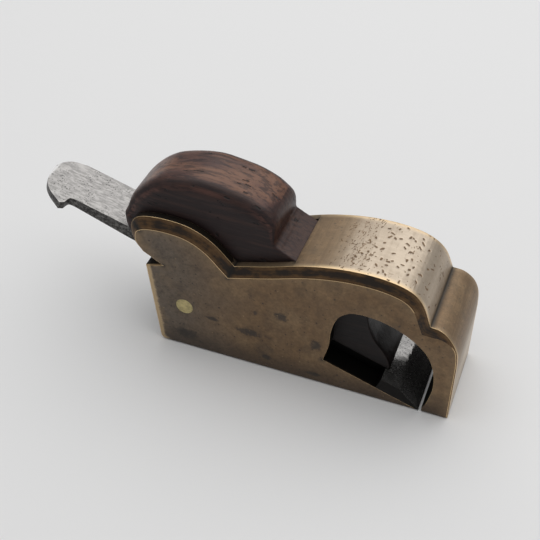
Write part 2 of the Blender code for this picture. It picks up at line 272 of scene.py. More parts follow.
class SharedEffects:
    """Shader node groups that several finishes use."""

    def __init__(self) -> None:
        """Builds the groups once."""
        self.wear = self._wear()
        self.scratches = self._scratches()
        self.pits = self._pits()

    @staticmethod
    def _start(name: str, numbers: dict[str, float], *outputs: str) -> tuple[
            NodeBuilder, dict[str, Value], bpy.types.Node]:
        """Starts a group with a Vector input, number inputs and number outputs.

        Args:
            name: The group's name.
            numbers: Default of each number input, by name.
            outputs: Names of the outputs.

        Returns:
            The builder, the inputs' values by name, and the group's output node.
        """
        tree = bpy.data.node_groups.new(name, "ShaderNodeTree")
        face = tree.interface
        face.new_socket("Vector", in_out="INPUT", socket_type="NodeSocketVector")
        for label, value in numbers.items():
            socket = face.new_socket(label, in_out="INPUT", socket_type="NodeSocketFloat")
            socket.default_value = value
        for label in outputs:
            face.new_socket(label, in_out="OUTPUT", socket_type="NodeSocketFloat")
        build = NodeBuilder(tree)
        given = {socket.name: Value(build, socket) for socket in build.add("NodeGroupInput").outputs}
        return build, given, build.add("NodeGroupOutput")

    def _wear(self) -> bpy.types.NodeTree:
        """Wear along arrises, broken up by noise.

        Returns:
            The group.
        """
        defaults = {"Edge": 0.0, "Amount": 1.0, "Scale": 300.0}
        build, given, out = self._start("edge_wear", defaults, "Mask")
        broken = build.noise(given["Vector"], given["Scale"], 4.0, 0.6)
        worn = given["Edge"] * (broken * 1.1 + 0.28) * given["Amount"]
        build.put(out.inputs["Mask"], worn.ramp(0.18, 0.72))
        return build.tree

    def _scratches(self) -> bpy.types.NodeTree:
        """Fine scratches from stretched noise.

        Returns:
            The group.
        """
        defaults = {"Scale": 1.0, "Share": 0.3}
        build, given, out = self._start("fine_scratches", defaults, "Mask", "Height")
        value = build.noise(given["Vector"], given["Scale"], 4.0, 0.7)
        edge = 0.86 - given["Share"]
        build.put(out.inputs["Mask"], value.ramp(edge, edge + 0.12))
        build.put(out.inputs["Height"], value)
        return build.tree

    def _pits(self) -> bpy.types.NodeTree:
        """Small round pits scattered over a surface.

        Returns:
            The group.
        """
        defaults = {"Scale": 900.0, "Radius": 0.3, "Share": 0.4}
        build, given, out = self._start("pits", defaults, "Mask")
        feed = {"Vector": given["Vector"], "Scale": given["Scale"]}
        cell = build.add("ShaderNodeTexVoronoi", feed, feature="F1")
        near = build.math("LESS_THAN", cell.outputs["Distance"], given["Radius"])
        draw = build.add("ShaderNodeSeparateColor", {0: cell.outputs["Color"]})
        chosen = build.math("LESS_THAN", draw.outputs[0], given["Share"])
        build.put(out.inputs["Mask"], near * chosen)
        return build.tree


# Finishes


@dataclass(frozen=True)
class Grain:
    """A noise pattern: scale per metre, octaves, weight of the finer ones, and stretch by axis."""

    scale: float
    detail: float
    rough: float
    stretch: Triple = EVEN


class Paint(NodeBuilder):
    """A material in the making, coloured layer by layer."""

    def __init__(self, name: str, effects: SharedEffects) -> None:
        """Starts a material with its Principled shader.

        Args:
            name: Name of the material.
            effects: Shared shader effects.
        """
        self.material = bpy.data.materials.new(name)
        self.material.use_nodes = True
        super().__init__(self.material.node_tree)
        self.effects = effects
        self.colour: Value | None = None

    def ground(self, share: Value, a: Colour, b: Colour) -> None:
        """Starts the colour as a mix of two."""
        self.colour = self.mix(share, a, b)

    def lay(self, share: Number, colour: object, blend: str = "MIX") -> None:
        """Lays a share of a colour over the layers so far."""
        self.colour = self.mix(share, self.colour, colour, blend)

    def grain(self, pattern: Grain, turn: float = 0.0) -> Value:
        """Value of a noise pattern, turned about Y by an angle in degrees."""
        place = self.stretched(pattern.stretch, turn)
        return self.noise(place, pattern.scale, pattern.detail, pattern.rough)

    def axis(self, letter: str) -> Value:
        """One of the object coordinates."""
        return Value(self, self.add("ShaderNodeSeparateXYZ", {0: self.stretched()}).outputs[letter])

    def effect(self, group: bpy.types.NodeTree, output: str = "Mask", stretch: Triple = EVEN,
               turn: float = 0.0, **numbers: Number) -> Value:
        """Places a shared effect on the object coordinates.

        Args:
            group: The shared effect.
            output: Which of its outputs is wanted.
            stretch: Factor of the coordinates along each axis.
            turn: Their turn about Y, in degrees.
            numbers: Values of its other inputs, by name.

        Returns:
            The output's value.
        """
        feed = {"Vector": self.stretched(stretch, turn), **numbers}
        return Value(self, self.add("ShaderNodeGroup", feed, node_tree=group).outputs[output])

    def shade(self, feed: Feed) -> None:
        """Feeds inputs of the Principled shader, by name."""
        for label, value in feed.items():
            self.put(self.tree.nodes["Principled BSDF"].inputs[label], value)

    def bump(self, height: Value, distance: float, strength: float) -> None:
        """Feeds a height, whose 1 is a distance in metres, to the shader's normal."""
        feed = {"Strength": strength, "Distance": distance, "Height": height}
        self.shade({"Normal": self.add("ShaderNodeBump", feed)})


@dataclass(frozen=True)
class Finish:
    """Base of a finish."""

    name: str

    def build(self, effects: SharedEffects) -> bpy.types.Material:
        """Builds the material.

        Args:
            effects: Shared shader effects.

        Returns:
            The material.
        """
        paint = Paint(self.name, effects)
        self.fill(paint)
        return paint.material

    def fill(self, paint: Paint) -> None:
        """Fills in the colour, shine and relief."""
        raise NotImplementedError


@dataclass(frozen=True)
class GunmetalFinish(Finish):
    """Cast gunmetal: brown patina on the sides, handled bright metal on the crown and arrises, with painted
    highlight and shade.
    """

    patina_warm: Colour = (0.172, 0.102, 0.047)
    patina_grey: Colour = (0.12, 0.092, 0.067)
    patina_light: Colour = (0.24, 0.155, 0.078)
    patina_dark: Colour = (0.036, 0.027, 0.021)
    patina_rubbed: Colour = (0.27, 0.18, 0.094)
    chamfer_brown: Colour = (0.1, 0.053, 0.02)
    chamfer_black: Colour = (0.024, 0.016, 0.011)
    # near black for painted shade inside the body and in its inside corners
    shade_black: Colour = (0.012, 0.011, 0.01)
    bronze: Colour = (0.54, 0.455, 0.36)
    bronze_warm: Colour = (0.45, 0.355, 0.245)
    # bright gold for worn arrises, brightened as a painted highlight
    worn_gold_highlight: Colour = (0.86, 0.62, 0.34)
    cloud: Grain = Grain(55.0, 4.0, 0.6)
    fine: Grain = Grain(420.0, 5.0, 0.65)
    grit: Grain = Grain(1500.0, 3.0, 0.6)
    light_patch: Grain = Grain(85.0, 5.0, 0.6)
    dark_patch: Grain = Grain(120.0, 5.0, 0.62)
    scuff_patch: Grain = Grain(160.0, 2.0, 0.5)
    crown_across: Grain = Grain(420.0, 4.0, 0.62, (1.0, 0.05, 1.0))
    crown_along: Grain = Grain(900.0, 3.0, 0.6, (0.12, 1.0, 0.4))
    crown_drawn: Grain = Grain(520.0, 4.0, 0.62, (1.0, 0.06, 1.0))
    file_broad: Grain = Grain(130.0, 3.0, 0.6)
    file_drawn: Grain = Grain(700.0, 4.0, 0.65, (0.3, 1.0, 0.6))
    file_lanes: float = 2.6
    warm_x: tuple[float, float] = (-46.0 * MM, -12.0 * MM)
    low_dark_z: tuple[float, float] = (1.0 * MM, 11.0 * MM)
    near_side_y: float = -12.0 * MM
    relief: float = 0.16 * MM
    stains: tuple[tuple[float, float, float, float], ...] = (
        (-28.0, 14.9, 3.2, 0.9), (-16.0, 13.4, 5.6, 1.8), (-37.0, 5.0, 4.5, 3.0),
        (-14.0, 22.4, 0.9, 1.3), (-10.5, 4.4, 2.2, 1.4), (4.5, 3.0, 3.0, 1.1),
        (-6.0, 23.5, 2.6, 2.2), (5.0, 15.5, 2.4, 2.6))

    def fill(self, paint: Paint) -> None:
        """Fills in the patina and the bare metal over it.

        Args:
            paint: The material in the making.
        """
        cloud, fine, grit = (paint.grain(grain) for grain in (self.cloud, self.fine, self.grit))
        polish_and_sheen, inner_shade = paint.attribute("polish_and_sheen"), paint.attribute("inner_shade")
        self._patina(paint, cloud, fine, grit)
        wear = paint.effects.wear
        arris = paint.effect(wear, Edge=paint.attribute("arris"), Amount=1.05, Scale=330.0)
        heel = paint.effect(wear, Edge=paint.attribute("heel"), Amount=1.4, Scale=900.0)
        line = arris | heel * 0.6
        # beside a handled arris: worn bare metal and a painted highlight on the rounded edge
        rim_wear_and_highlight = paint.attribute("edge") * polish_and_sheen.ramp(0.05, 0.3)
        crown = self._crown(paint, cloud + fine * 0.6, polish_and_sheen, rim_wear_and_highlight)
        bare = (line | (crown * (1.0 - self._soil(paint))).clamped()).clamped()
        metal = paint.mix(polish_and_sheen.ramp(0.35, 0.8), self.bronze_warm, self.bronze)
        # gold on worn arrises and beside them, brighter as a painted highlight
        paint.lay(bare, paint.mix(line | rim_wear_and_highlight * 0.6, metal, self.worn_gold_highlight))
        # painted shade: near black inside the body, in the slot and the throat, and on the lobe's top beside
        # the wedge
        paint.lay(inner_shade, self.shade_black)
        satin = paint.attribute("chamfer").between(0.26, 0.42)
        paint.shade({
            "Base Color": paint.colour, "Metallic": bare.between(satin, 1.0) | inner_shade,
            "Roughness": bare.between(inner_shade.between(0.46, 0.6), 0.32) + fine * 0.12})
        scratch = paint.effect(paint.effects.scratches, "Height", (0.2, 1.0, 1.0), 35.0,
                               Scale=900.0, Share=0.2)
        paint.bump(fine * 0.7 + scratch * 0.35 + grit * 0.25, self.relief, 0.45)

    def _crown(self, paint: Paint, mottle: Value, polish_and_sheen: Value, rim_wear_and_highlight: Value) -> Value:
        """Share of bare metal on the handled top faces, brightest beside the arris, partly as a painted
        highlight.

        Args:
            paint: The material in the making.
            mottle: Uneven handling.
            polish_and_sheen: How far handling has brightened the metal, partly as painted reflection.
            rim_wear_and_highlight: Nearness to a handled arris, worn and brightened as a painted highlight.

        Returns:
            The share, from 0 to 1.
        """
        crown = polish_and_sheen * mottle.ramp(0.45, 0.95).between(0.75, 1.05)
        crown = crown * (paint.grain(self.crown_across) * 0.82 + 0.46)
        crown = crown * (paint.grain(self.crown_along) * 0.5 + 0.82) + rim_wear_and_highlight * 0.75
        return (crown * (1.0 - paint.attribute("cavity") * 0.95)).clamped()

    def _patina(self, paint: Paint, cloud: Value, fine: Value, grit: Value) -> None:
        """Lays the colours of the aged metal, with dirt and painted shade darkening the inside corners.

        Args:
            paint: The material in the making.
            cloud: Broad noise.
            fine: Fine noise.
            grit: Finest noise.
        """
        toward_toe = paint.axis("X").ramp(*self.warm_x) + (cloud - 0.5)
        paint.ground(toward_toe, self.patina_grey, self.patina_warm)
        paint.lay(paint.grain(self.light_patch).ramp(0.46, 0.7) * 0.55, self.patina_light)
        paint.lay(paint.grain(self.dark_patch).ramp(0.52, 0.7) * 0.38, self.patina_dark)
        # darker towards the sole
        low = 1.0 - paint.axis("Z").ramp(*self.low_dark_z)
        paint.lay(low * fine.between(0.45, 0.85), self.patina_dark)
        paint.lay(self._stain(paint, fine) * 0.85, self.patina_dark)
        for scale, radius, share, colour in (
                (560.0, 0.14, 0.12, self.patina_rubbed), (420.0, 0.15, 0.2, self.patina_dark),
                (760.0, 0.2, 0.22, self.patina_dark)):
            speck = paint.effect(paint.effects.pits, Scale=scale, Radius=radius, Share=share)
            paint.lay(speck * 0.7, colour)
        tone = fine * 1.25 + grit - 0.13
        shade = paint.add("ShaderNodeCombineColor", {0: tone, 1: tone, 2: tone})
        paint.lay(1.0, shade, "MULTIPLY")
        drawn = paint.grain(self.crown_drawn).ramp(0.44, 0.62)
        drawn = drawn * paint.attribute("polish_and_sheen").ramp(0.08, 0.15)
        paint.lay(drawn * 0.6, self.chamfer_brown)
        paint.lay(paint.attribute("rub") * fine.between(0.1, 0.85), self.patina_rubbed)
        paint.lay(paint.attribute("chamfer"), self._filed(paint))
        # inside corners near black: dirt in the hollows and painted shade
        paint.lay(paint.attribute("cavity") * 0.95, self.shade_black)

    def _filed(self, paint: Paint) -> Value:
        """Colour of the chamfer, streaked along its length.

        Args:
            paint: The material in the making.

        Returns:
            The colour.
        """
        across = paint.attribute("across")
        feed = {"W": across * self.file_lanes, "Scale": 1.0, "Detail": 3.0}
        lane = Value(paint, paint.add("ShaderNodeTexNoise", feed, noise_dimensions="1D").outputs[0])
        broad, drawn = paint.grain(self.file_broad), paint.grain(self.file_drawn)
        streak = lane * 0.28 + broad * 0.34 + drawn * 0.38 - across.ramp(0.6, 1.7) * 0.075
        colour = paint.mix(streak.ramp(0.4, 0.52), self.chamfer_black, self.chamfer_brown)
        return paint.mix(streak.ramp(0.51, 0.62) * 0.85, colour, self.patina_warm)

    def _stain(self, paint: Paint, fine: Value) -> Value:
        """Dark stains on the near side.

        Args:
            paint: The material in the making.
            fine: Fine noise.

        Returns:
            Share of stain, from 0 to 1.
        """
        x, z = paint.axis("X"), paint.axis("Z")
        total: Number = 0.0
        for at_x, at_z, wide, high in self.stains:
            right, up = (x - at_x * MM) / (wide * MM), (z - at_z * MM) / (high * MM)
            reach = right * right + up * up + fine * 2.0
            total = (1.0 - reach.ramp(1.1, 2.0)) | total
        return total * paint.math("LESS_THAN", paint.axis("Y"), self.near_side_y)

    def _soil(self, paint: Paint) -> Value:
        """Dark dings, specks and short scratches in the bare metal.

        Args:
            paint: The material in the making.

        Returns:
            Share of dirt, from 0 to 1.
        """
        pits, scratches = paint.effects.pits, paint.effects.scratches
        speck = paint.effect(pits, Scale=800.0, Radius=0.2, Share=0.1)
        first = paint.effect(scratches, "Mask", (0.2, 1.0, 1.0), 10.0, Scale=800.0, Share=0.25)
        second = paint.effect(scratches, "Mask", (1.0, 0.18, 1.0), 25.0, Scale=850.0, Share=0.25)
        lines = (first | second) * paint.grain(self.scuff_patch).ramp(0.4, 0.62)
        return speck * 0.6 | lines * 0.6 | paint.attribute("ding").ramp(0.15, 0.6) * 0.95


@dataclass(frozen=True)
class RosewoodFinish(Finish):
    """Old rosewood: brown where handled, painted shade near black on the sides, pores and streaks along the
    grain.
    """

    handled: Colour = (0.178, 0.086, 0.052)
    red: Colour = (0.085, 0.038, 0.029)
    band: Colour = (0.04, 0.018, 0.014)
    dark: Colour = (0.016, 0.0075, 0.0078)
    pore: Colour = (0.006, 0.005, 0.005)
    figure: Grain = Grain(130.0, 5.0, 0.6, (0.09, 1.0, 1.0))
    fibre: Grain = Grain(900.0, 4.0, 0.7, (0.09, 1.0, 1.0))
    patch: Grain = Grain(105.0, 3.0, 0.55, (0.5, 1.0, 1.0))
    vein: Grain = Grain(520.0, 5.0, 0.7, (0.06, 1.0, 1.0))
    grain_turn: float = 14.0
    crack_turn: float = -3.0
    gloss: float = 0.26
    relief: float = 0.24 * MM

    def fill(self, paint: Paint) -> None:
        """Fills in the figure, the painted shade on the sides, a painted highlight along the ridge, and the
        pores.

        Args:
            paint: The material in the making.
        """
        turn = self.grain_turn
        figure, fibre, patch, vein = (
            paint.grain(grain, turn) for grain in (self.figure, self.fibre, self.patch, self.vein))
        side_shade, turned = paint.attribute("side_shade"), paint.attribute("turned")
        mottle = figure * 0.45 + patch * 0.55
        paint.ground(mottle.ramp(0.42, 0.56), self.handled, self.red)
        paint.lay(mottle.ramp(0.52, 0.63) * 0.72, self.dark)
        # painted shade: a dark band where the top turns down, and near black on the sides
        paint.lay(side_shade.ramp(0.0, 0.55) * 0.8, self.band)
        paint.lay(fibre.ramp(0.46, 0.6) * 0.66, self.dark)
        paint.lay(side_shade.ramp(0.5, 0.95), self.dark)
        paint.lay(vein.ramp(0.46, 0.62) * (side_shade * 0.8), self.band)
        # painted highlight: lighter red along the rounded ridge between top and side
        ridge_highlight = (turned.ramp(0.74, 0.84) - turned.ramp(0.92, 0.985)).clamped()
        paint.lay(ridge_highlight * (patch.ramp(0.4, 0.62) * fibre.ramp(0.62, 0.42)), self.red)
        # painted shade low on the wedge, where it goes down into the body
        paint.lay(paint.attribute("sunk_shade") * 0.8, self.pore)
        scratches = paint.effects.scratches
        pores = paint.effect(scratches, "Mask", (0.16, 1.0, 1.0), turn, Scale=760.0, Share=0.19)
        cracks = paint.effect(scratches, "Mask", (0.1, 1.0, 1.0), turn + self.crack_turn,
                              Scale=300.0, Share=0.165)
        holes = pores | cracks | paint.attribute("ding").ramp(0.15, 0.6)
        paint.lay(holes * 0.9, self.pore)
        rough = side_shade.ramp(0.4, 0.9).between(self.gloss, 0.5) + fibre * 0.2
        paint.shade({"Base Color": paint.colour, "Roughness": rough, "Specular IOR Level": 0.36})
        paint.bump(fibre * 0.5 - holes + patch * 1.6, self.relief, 0.75)


@dataclass(frozen=True)
class SteelFinish(Finish):
    """Old tool steel: ground along its length, lightly pitted and stained, with painted shade on its sides.
    """

    bright: Colour = (0.34, 0.33, 0.32)
    grey: Colour = (0.2, 0.195, 0.19)
    stain_and_shade: Colour = (0.012, 0.011, 0.01)
    tang_gain: Colour = (1.16, 1.155, 1.15)
    facet: Colour = (0.5, 0.495, 0.49)
    ground: Grain = Grain(1100.0, 4.0, 0.7, (0.08, 1.0, 1.0))
    cloud: Grain = Grain(90.0, 5.0, 0.62)
    mottle: Grain = Grain(1500.0, 4.0, 0.7)
    turn: float = 19.0
    head_x: tuple[float, float] = (-6.0 * MM, 4.0 * MM)
    facet_x: tuple[float, float] = (-85.2 * MM, -85.9 * MM)
    relief: float = 0.06 * MM

    def fill(self, paint: Paint) -> None:
        """Fills in the ground steel, its pits and stains, and the painted shade on its sides.

        Args:
            paint: The material in the making.
        """
        ground, cloud = paint.grain(self.ground, self.turn), paint.grain(self.cloud)
        x = paint.axis("X")
        head = x.ramp(*self.head_x)
        paint.ground(ground.ramp(0.35, 0.65), self.grey, self.bright)
        paint.lay(cloud.ramp(0.5, 0.72) * 0.4, self.grey)
        paint.lay(1.0 - head, paint.mix(1.0, paint.colour, self.tang_gain, "MULTIPLY"))
        paint.lay(x.ramp(*self.facet_x), self.facet)
        pits = paint.effect(paint.effects.pits, Scale=1300.0, Radius=0.33, Share=0.3)
        small = paint.effect(paint.effects.pits, Scale=2300.0, Radius=0.36, Share=0.26)
        spots = (pits | small) * cloud.ramp(0.38, 0.6)
        mottle = paint.grain(self.mottle).ramp(0.36, 0.62).between(0.8, 1.3)
        # painted shade on the iron's sides, mottled on the head, laid with the stains
        shade = (paint.attribute("side_shade") * head.between(mottle, 1.0)).clamped()
        edge = paint.effect(paint.effects.wear, Edge=paint.attribute("arris"), Amount=0.9, Scale=300.0)
        dark = (spots * 0.6 | shade) * (1.0 - edge)
        paint.lay(dark, self.stain_and_shade)
        paint.shade({
            "Base Color": paint.colour, "Metallic": head.between(1.0, 0.82),
            "Roughness": dark.between(head.between(0.3, 0.12), 0.45) + ground * 0.06})
        paint.bump((ground * 0.35 - spots) * head.between(1.0, 0.2), self.relief, 0.15)


@dataclass(frozen=True)
class PinFinish(Finish):
    """Brass pin end, filed flush and rubbed."""

    brass: Colour = (0.57, 0.48, 0.235)
    dull: Colour = (0.36, 0.3, 0.15)
    fine: Grain = Grain(600.0, 4.0, 0.6)
    file_stretch: Triple = (1.0, 1.0, 0.15)
    file_turn: float = 40.0
    relief: float = 0.08 * MM

    def fill(self, paint: Paint) -> None:
        """Fills in the brass and its file lines.

        Args:
            paint: The material in the making.
        """
        fine = paint.grain(self.fine)
        mask, height = (
            paint.effect(paint.effects.scratches, output, self.file_stretch, self.file_turn,
                         Scale=1500.0, Share=0.3) for output in ("Mask", "Height"))
        paint.ground(fine.ramp(0.35, 0.65), self.brass, self.dull)
        paint.lay(mask * 0.4, self.brass)
        paint.shade({"Base Color": paint.colour, "Metallic": 0.7, "Roughness": fine * 0.2 + 0.34})
        paint.bump(height, self.relief, 0.3)


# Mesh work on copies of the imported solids


class ArrisMap:
    """Points along the sharp edges of a mesh, each with a weight."""

    sharp_angle = 24.0
    step = 0.3 * MM

    def __init__(self, mesh: bmesh.types.BMesh, convex: bool, weigh: Rule) -> None:
        """Samples the edges.

        Args:
            mesh: The mesh.
            convex: Whether outer arrises are wanted, or inner corners.
            weigh: Weight of an edge from its middle and direction; 0 leaves it out.
        """
        points: list[Vector] = []
        self.weights: list[float] = []
        for edge in mesh.edges:
            if len(edge.link_faces) != 2 or edge.is_convex != convex:
                continue
            a, b = edge.verts[0].co, edge.verts[1].co
            weight = weigh((a + b) / 2, (b - a).normalized())
            if weight <= 0.0 or math.degrees(edge.calc_face_angle(0.0)) < self.sharp_angle:
                continue
            steps = max(1, math.ceil((b - a).length / self.step))
            points += [a.lerp(b, i / steps) for i in range(steps + 1)]
            self.weights += [weight] * (steps + 1)
        self.tree = KDTree(len(points))
        for i, point in enumerate(points):
            self.tree.insert(point, i)
        self.tree.balance()

    def gap(self, point: Vector) -> float:
        """Distance to the nearest edge in metres, or 1 where there is none."""
        return self.tree.find(point)[2] if self.weights else 1.0

    def share(self, point: Vector, width: float) -> float:
        """Weight of the nearest edge, fading with distance.

        Args:
            point: A point.
            width: Distance at which the share falls to about a third.

        Returns:
            A share from 0 to 1.
        """
        if not self.weights:
            return 0.0
        _, index, gap = self.tree.find(point)
        return self.weights[index] * math.exp(-((gap / width) ** 2))

    def fading(self, width: float) -> PointRule:
        """Rule for the share at a point."""
        return lambda point: self.share(point, width)


def everywhere(middle: Vector, direction: Vector) -> float:
    """Weight of 1 for any edge."""
    return 1.0


@dataclass(frozen=True)
class Detail:
    """Edge lengths of a refined mesh: at an arris, away from it, and the distance between the two."""

    near: float
    far: float
    reach: float
    slack = 1.5

    def allows(self, length: float, gap: float) -> bool:
        """Whether an edge of a length may stay at a distance from an arris."""
        grown = self.near + (self.far - self.near) * min(gap / self.reach, 1.0)
        return length <= self.far * self.slack and length <= self.slack * grown


class Surface:
    """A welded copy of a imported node, refined near its arrises."""

    weld = 0.002 * MM
    flat_angle = 0.3
    most_rounds = 10

    def __init__(self, node: bpy.types.Object, weigh: Rule = everywhere) -> None:
        """Copies and welds a node's mesh.

        Args:
            node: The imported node.
            weigh: Wear of an outer arris, from its middle and direction.
        """
        self.mesh = bmesh.new()
        self.mesh.from_mesh(node.data)
        bmesh.ops.remove_doubles(self.mesh, verts=self.mesh.verts, dist=self.weld)
        bmesh.ops.dissolve_limit(self.mesh, angle_limit=math.radians(self.flat_angle),
                                 verts=self.mesh.verts, edges=self.mesh.edges)
        bmesh.ops.recalc_face_normals(self.mesh, faces=self.mesh.faces)
        self.worn = ArrisMap(self.mesh, True, weigh)

    def soften(self, width: float, angle: float, keep_sharp: Callable[[Vector], bool]) -> None:
        """Rounds sharp outer arrises.

        Args:
            width: Width of the rounding, in metres.
            angle: Least angle of an arris, in degrees.
            keep_sharp: Says whether an arris with that middle stays sharp.
        """
        edges = []
        for edge in self.mesh.edges:
            if len(edge.link_faces) != 2 or not edge.is_convex:
                continue
            middle = (edge.verts[0].co + edge.verts[1].co) / 2
            if math.degrees(edge.calc_face_angle(0.0)) > angle and not keep_sharp(middle):
                edges.append(edge)
        layer = self.mesh.faces.layers.float.new("arris")
        made = bmesh.ops.bevel(self.mesh, geom=edges, offset=width, offset_type="OFFSET", segments=3,
                               profile=0.5, affect="EDGES", clamp_overlap=True)
        for face in made["faces"]:
            face[layer] = self.worn.share(face.calc_center_median(), 3.0 * width)

    def refine(self, detail: Detail, finer: PointRule | None = None) -> None:
        """Splits long edges, finely near the worn arrises.

        Args:
            detail: Edge lengths; no edge shorter than the near one is split.
            finer: Gives a largest edge length at a point, where one holds.
        """
        least = detail.near * detail.slack
        bmesh.ops.triangulate(self.mesh, faces=self.mesh.faces)
        fresh = list(self.mesh.edges)
        for _ in range(self.most_rounds):
            long = [edge for edge in fresh if self._too_long(edge, detail, finer)]
            if not long:
                break
            bmesh.ops.subdivide_edges(self.mesh, edges=long, cuts=1)
            bmesh.ops.triangulate(self.mesh, faces=[f for f in self.mesh.faces if len(f.verts) > 3])
            fresh = [edge for edge in self.mesh.edges if edge.calc_length() > least]

    def _too_long(self, edge: bmesh.types.BMEdge, detail: Detail, finer: PointRule | None) -> bool:
        """Whether an edge is longer than its place allows.

        Args:
            edge: The edge.
            detail: Edge lengths.
            finer: Gives a largest edge length at a point, where one holds.

        Returns:
            True where it is to be split.
        """
        length = edge.calc_length()
        if length <= detail.near * detail.slack:
            return False
        middle = (edge.verts[0].co + edge.verts[1].co) / 2
        if finer is not None and length > finer(middle) * detail.slack:
            return True
        return not detail.allows(length, self.worn.gap(middle))

    def relax(self, rounds: int, soft: Callable[[Vector], bool]) -> None:
        """Smooths out facets.

        Args:
            rounds: How many times.
            soft: Says whether a vertex moves.
        """
        verts = [vertex for vertex in self.mesh.verts if soft(vertex.co)]
        for _ in range(rounds):
            bmesh.ops.smooth_vert(self.mesh, verts=verts, factor=0.5, use_axis_x=True, use_axis_y=True,
                                  use_axis_z=True)

    def finish(self, name: str, marks: dict[str, PointRule] | None = None,
               smooth_angle: float = 28.0) -> bpy.types.Object:
        """Makes an object of the surface.

        Args:
            name: Name of the piece.
            marks: Numbers to store on its vertices, by attribute.
            smooth_angle: Edges sharper than this stay sharp, in degrees.

        Returns:
            The new object.
        """
        mesh = bpy.data.meshes.new(name)
        self.mesh.to_mesh(mesh)
        self.mesh.free()
        for label, rule in (marks or {}).items():
            store(mesh, label, Domain.POINT, [rule(vertex.co) for vertex in mesh.vertices])
        mesh.shade_smooth()
        mesh.set_sharp_from_angle(angle=math.radians(smooth_angle))
        piece = bpy.data.objects.new(name, mesh)
        bpy.context.scene.collection.objects.link(piece)
        return piece


def store(mesh: bpy.types.Mesh, label: str, domain: Domain, numbers: list[float]) -> None:
    """Stores numbers on a mesh as an attribute."""
    attribute = mesh.attributes.new(label, "FLOAT", domain.value)
    attribute.data.foreach_set("value", np.array(numbers, np.float32))


def mark_vertices(piece: bpy.types.Object, label: str, rule: Rule) -> None:
    """Stores a number on each vertex, from its place and smooth normal."""
    store(piece.data, label, Domain.POINT, [rule(v.co, v.normal) for v in piece.data.vertices])


def mark_faces(piece: bpy.types.Object, label: str, rule: Rule) -> None:
    """Stores a number on each face, from its centre and normal."""
    store(piece.data, label, Domain.FACE, [rule(f.center, f.normal) for f in piece.data.polygons])


def dress(piece: bpy.types.Object, material: bpy.types.Material, node: str, body: Body) -> None:
    """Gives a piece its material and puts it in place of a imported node.

    Args:
        piece: The piece.
        material: Its material.
        node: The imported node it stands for.
        body: The body it rides on.
    """
    piece.data.materials.clear()
    piece.data.materials.append(material)
    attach(piece, body.value)
    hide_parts(node)
    LOG.info("%s: %d faces", piece.name, len(piece.data.polygons))


# Pieces


